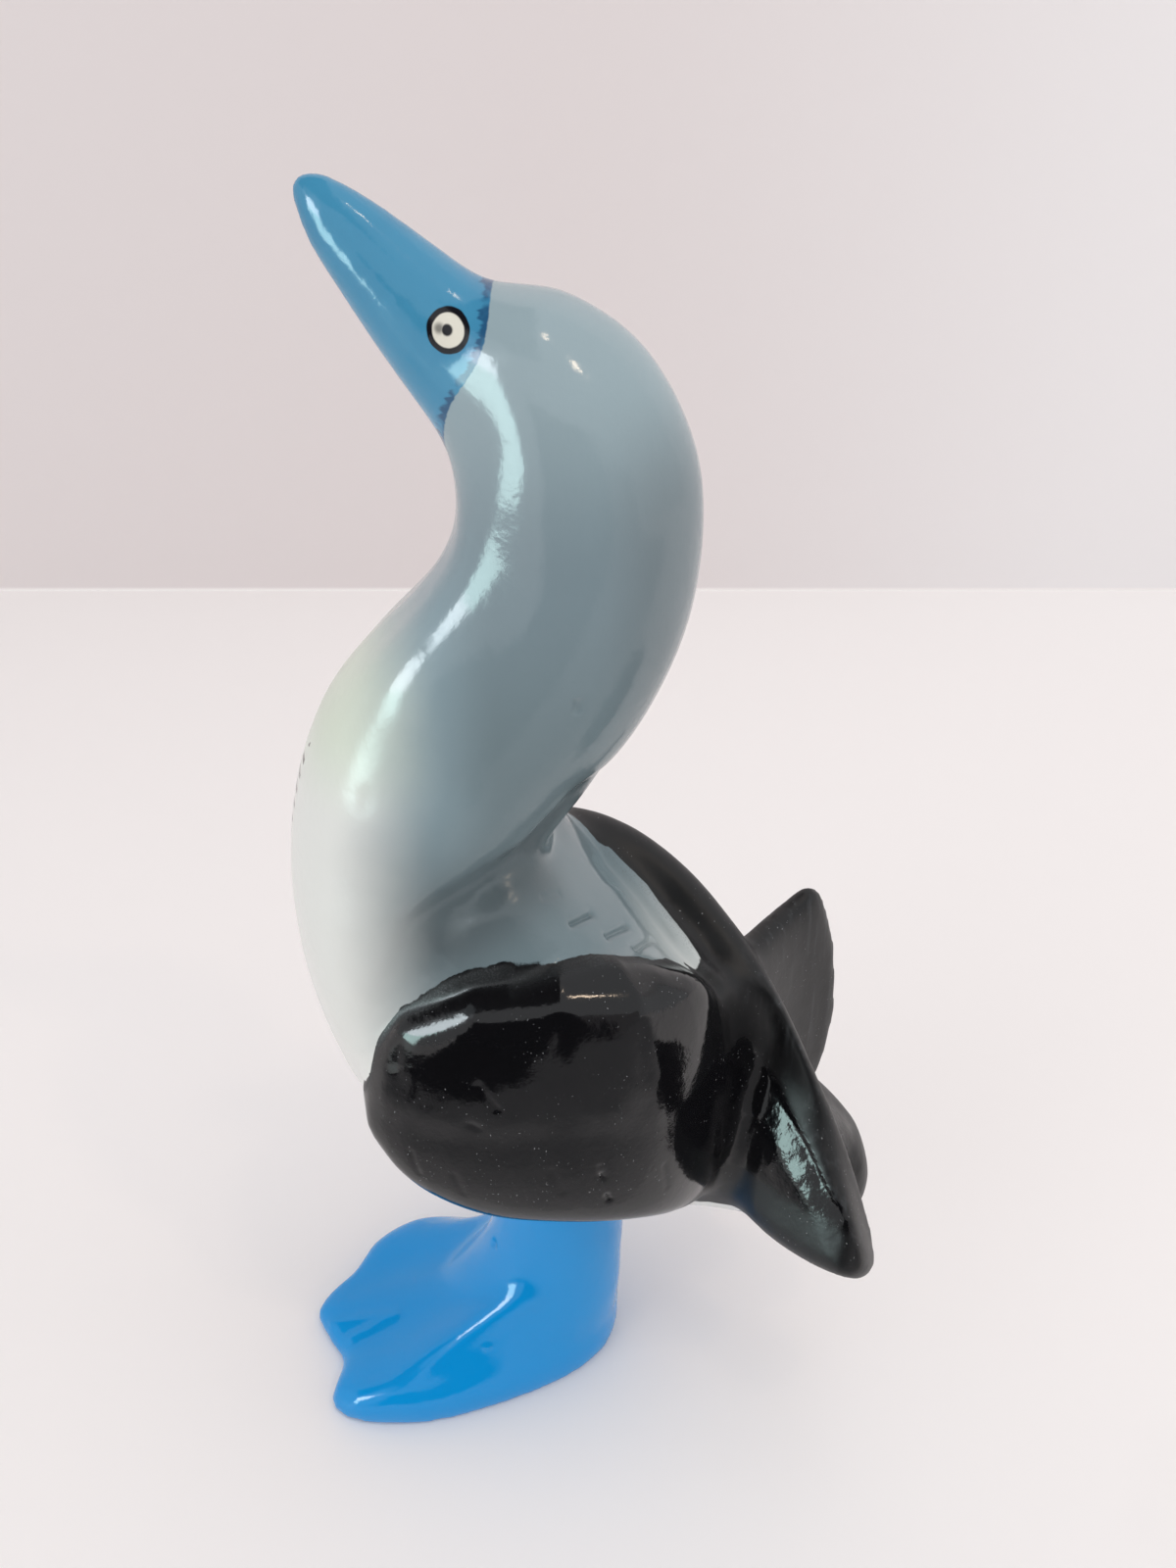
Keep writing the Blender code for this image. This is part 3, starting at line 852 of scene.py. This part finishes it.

# Neck and breast: greys laid over each other down the neck, and ivory sprayed over the breast and belly. The
# greys carry painted light: lighter at the crown, partly for its sheen, lighter on the lit throat, and
# darker on the shaded nape and on the lower neck, partly for the shade there.
HEAD_GREY = colour(150, 168, 174)
NECK_GREY = colour(125, 142, 149)
LOW_GREY = colour(113, 129, 134)
THROAT_PAINTED_LIGHT = colour(146, 168, 176)
NAPE_PAINTED_SHADE = colour(104, 112, 115)
CREASE_PAINTED_SHADE = colour(78, 86, 89)
IVORY = colour(226, 227, 222)
YELLOWED = colour(214, 222, 206)
BREAST_LINE = 0.088
BREAST_LINE_LOW = 0.012
BREAST_FADE = 0.080
BELLY_TOP = 0.50
YELLOWED_HEIGHT = 0.69
YELLOWED_REACH = 0.085

# Where the painted light on the throat and the painted shade on the nape lie.
lit_throat = step_up(-y, 0.055, 0.105) * step_up(z, 0.56, 0.64)
shaded_nape = step_up(y, 0.0, 0.05) * step_up(0.90 - z, 0.0, 0.08) * step_up(z, 0.54, 0.60)
# Lighter at the crown and darker lower down: partly paint, partly painted sheen and shade.
neck = tint(HEAD_GREY, NECK_GREY, step_up(0.90 - z, 0.0, 0.12))
neck = tint(neck, LOW_GREY, step_up(0.80 - z, 0.0, 0.16))
# Painted light on the throat and painted shade on the nape.
neck = tint(neck, THROAT_PAINTED_LIGHT, lit_throat * 0.6)
neck = tint(neck, NAPE_PAINTED_SHADE, shaded_nape * 0.5)
# Painted shade in and just below the neck's crease.
neck = tint(neck, CREASE_PAINTED_SHADE, by_crease * 0.8)
fade_start = BREAST_LINE + BREAST_LINE_LOW * step_up(0.66 - z, 0.0, 0.08)
breast = -y - fade_start + (cloud - 0.5) * 0.016
ivory = larger(step_up(breast, 0.0, BREAST_FADE) * step_up(0.80 - z, 0.0, 0.10),
               step_up(BELLY_TOP - z, 0.0, 0.09))
yellowed = step_up(YELLOWED_REACH - abs(z - YELLOWED_HEIGHT), 0.0, 0.07)
skin = tint(neck, tint(IVORY, YELLOWED, yellowed), ivory)

# Bill: blue, with a ragged fringe of short dark strokes where it meets the face.
BILL_BLUE = colour(66, 141, 177)
BILL_SHADE = colour(54, 118, 156)
FRINGE_BLUE = colour(28, 66, 106)
FACE_LINE = -0.072
FACE_LINE_BEND = 0.0165
FACE_LINE_MIDDLE = 0.891
BILL_LOW = 0.846
FRINGE_LENGTH = 0.0105

bend = add_node(tree, "ShaderNodeMath", {"operation": "TANH"}, {0: (z - FACE_LINE_MIDDLE) / 0.022})
bill_inside = smaller(FACE_LINE + FACE_LINE_BEND * bend - y, (z - BILL_LOW) * 0.8)
fringe_noise = noise(1.0, 1.0, stretched(60.0, 60.0, 420.0))
bill = step_up(bill_inside + (fringe_noise - 0.5) * 0.0015, -0.0006, 0.0006)
bill_paint = tint(BILL_BLUE, BILL_SHADE, step_up(noise(18.0), 0.45, 0.75) * 0.35)
fringe = step_up(FRINGE_LENGTH * fringe_noise - bill_inside, -0.0010, 0.0022)
bill_paint = tint(bill_paint, FRINGE_BLUE, fringe * step_up(noise(70.0), 0.34, 0.55) * 0.8)
skin = tint(skin, bill_paint, bill)

# Eye: flat paint on the bill's side, a black ring, ivory within, and a small smeared pupil. Its place is
# measured mostly along the side, because it is painted round however the face curves.
EYE_IVORY = colour(226, 222, 208)
EYE_BLACK = colour(20, 20, 26)
EYE_SIDE_SHARE = 0.3
EYE_PLACE = (0.0111, -0.080, 0.9195)
EYE_RADIUS = 0.0126
IRIS_RADIUS = 0.0093
PUPIL_RADIUS = 0.0031
SMEAR_RADIUS = 0.0030
mirrored = add_node(tree, "ShaderNodeCombineXYZ", values={0: abs(x) * EYE_SIDE_SHARE, 1: y, 2: z})


def gap_to_eye(forward, upward):
    """The way off a place beside the eye's middle."""
    values = {0: mirrored, 1: (EYE_PLACE[0], EYE_PLACE[1] - forward, EYE_PLACE[2] + upward)}
    return add_node(tree, "ShaderNodeVectorMath", {"operation": "DISTANCE"}, values, output=1)


eye_gap = gap_to_eye(0.0, 0.0) + (noise(150.0, 1.0) - 0.5) * 0.0008
pupil = larger(step_up(PUPIL_RADIUS - gap_to_eye(0.0006, 0.0003), -0.0008, 0.0006),
               step_up(SMEAR_RADIUS - gap_to_eye(0.0052, 0.0012), -0.0015, 0.002) * 0.7)
skin = tint(skin, EYE_BLACK, step_up(EYE_RADIUS - eye_gap, -0.0004, 0.0004))
skin = tint(skin, EYE_IVORY, step_up(IRIS_RADIUS - eye_gap, -0.0005, 0.0005))
skin = tint(skin, EYE_BLACK, pupil)

# Foot and leg: blue up to a wavering line under the belly.
FOOT_BLUE = colour(0, 146, 217)
FOOT_TOP = 0.222
FOOT_BACK = 0.052

foot_line = step_up(FOOT_TOP - z + (noise(30.0) - 0.5) * 0.01, -0.0012, 0.0012)
skin = tint(skin, FOOT_BLUE, foot_line * step_up(FOOT_BACK - y, -0.001, 0.001))

# A slanting row of short painted strokes across the breast, each leaning a little.
INK_BROWN = colour(48, 38, 36)
ROW_MIDDLE = 0.598
ROW_SLOPE = 1.7
ROW_SHARE = 0.507
ROW_SIDE = 0.016
ROW_CENTRE = -0.014
ROW_HALF_LENGTH = 0.042
STROKE_PACE = 0.0135
STROKE_LEAN = 0.45
STROKE_HALF_THICKNESS = 0.0021
STROKE_HALF_HEIGHT = 0.0170

row = (x + (z - ROW_MIDDLE) * ROW_SLOPE) * ROW_SHARE
rise = ((z - ROW_MIDDLE) - (x - ROW_SIDE) * ROW_SLOPE) * ROW_SHARE
beat = noise(1.0, 0.0, stretched(45.0, 0.0, 45.0)) - 0.5
across = (row + STROKE_LEAN * rise + beat * 0.006) % STROKE_PACE - STROKE_PACE / 2
stroke = step_up(STROKE_HALF_THICKNESS - abs(across), -0.0004, 0.0004)
stroke = stroke * step_up(STROKE_HALF_HEIGHT + beat * 0.012 - abs(rise), -0.0012, 0.0006)
stroke = stroke * step_up(ROW_HALF_LENGTH - abs(x - ROW_CENTRE), 0.0, 0.001) * step_up(-0.12 - y, 0.0, 0.01)
skin = tint(skin, INK_BROWN, stroke * 0.9)

# Wings and tail: black with a brushed edge, dusted with overspray beside it on the right, rubbed thin along
# the left wing's crest, with specks of dust in the paint and dry streaks on the right wing's tip.
WING_BLACK = colour(15, 15, 17)
SPECKLE_GREY = colour(104, 109, 112)
DUST_GREY = colour(176, 178, 180)
EDGE_WAVER = 0.005
RIGHT_EDGE_WAVER = 0.002

right_side = reading("right_side")
satin = reading("satin")
crest = reading("below_crest")
waver = EDGE_WAVER - right_side * (EDGE_WAVER - RIGHT_EDGE_WAVER)
inside = reading("inside_black") + (brush - 0.5) * waver
black_share = step_up(inside, -0.0005, 0.0005)
overspray = step_up(inside, -0.014, -0.001) * step_up(noise(700.0), 0.50, 0.72) * right_side
skin = tint(skin, SPECKLE_GREY, overspray * 0.55)
speckle = step_up(0.018 - crest, 0.0, 0.014) * step_up(crest, 0.000, 0.003) * (1.0 - right_side)
speckle = speckle * (0.25 + 0.75 * step_up(noise(820.0), 0.42, 0.70))
wing = tint(WING_BLACK, SPECKLE_GREY, speckle * (0.12 + 0.30 * step_up(cloud, 0.42, 0.6)))
dust = step_up(noise(640.0, 0.0), 0.80, 0.84) * step_up(noise(26.0, 1.0), 0.42, 0.60)
wing = tint(wing, DUST_GREY, dust * 0.55)
streaks = step_up(noise(1.0, 3.0, stretched(150.0, 150.0, 16.0)), 0.50, 0.78) * step_up(y, 0.10, 0.16)
wing = tint(wing, SPECKLE_GREY, streaks * satin * 0.16)
skin = tint(skin, wing, black_share)

# Glaze: glossy all over, satin where the black is dry and a little matt where the breast was sprayed and in
# the crease, with slow waves, a fine grain, and a crinkle on the tip's lower face.
GLAZE_ROUGHNESS = 0.13
BLACK_GLOSS = 0.03
BRUSH_ROUGHNESS = 0.05
SATIN_ROUGHNESS = 0.34
MATT_ROUGHNESS = 0.12
SPRAYED_LOW_FADE = (0.22, 0.26)
WAVE_HEIGHT = 0.00022
GRAIN_HEIGHT = 0.00003
CRINKLE_HEIGHT = 0.00016

dry = larger(satin, step_up(0.016 - crest, 0.0, 0.012) * step_up(crest, -0.002, 0.003))
dry = larger(dry, step_up(0.272 - z, 0.0, 0.02) * step_up(y, 0.06, 0.09)) * black_share
sprayed = step_up(0.735 - z, 0.0, 0.07) * step_up(-y, 0.05, 0.10) * (1.0 - black_share)
sprayed = sprayed * step_up(z, *SPRAYED_LOW_FADE)
crinkle = step_up(y, 0.125, 0.15) * (1.0 - satin) * step_up(0.34 - z, 0.0, 0.02)
wave = noise(38.0, 3.0) * 0.6 + noise(9.0, 1.0)
relief = wave * WAVE_HEIGHT + grain * GRAIN_HEIGHT + noise(75.0, 3.0) * crinkle * CRINKLE_HEIGHT
feed(shader, {
    "Base Color": skin,
    "Roughness": (GLAZE_ROUGHNESS - black_share * BLACK_GLOSS + (brush - 0.5) * BRUSH_ROUGHNESS
                  + dry * SATIN_ROUGHNESS + larger(by_crease, sprayed) * MATT_ROUGHNESS),
    "Normal": add_node(tree, "ShaderNodeBump", {}, {"Height": relief, "Distance": 1.0, "Strength": 0.5}),
    "IOR": 1.5,
})
bird.data.materials.clear()
bird.data.materials.append(glaze_material)
bird.data.shade_smooth()

low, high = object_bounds()
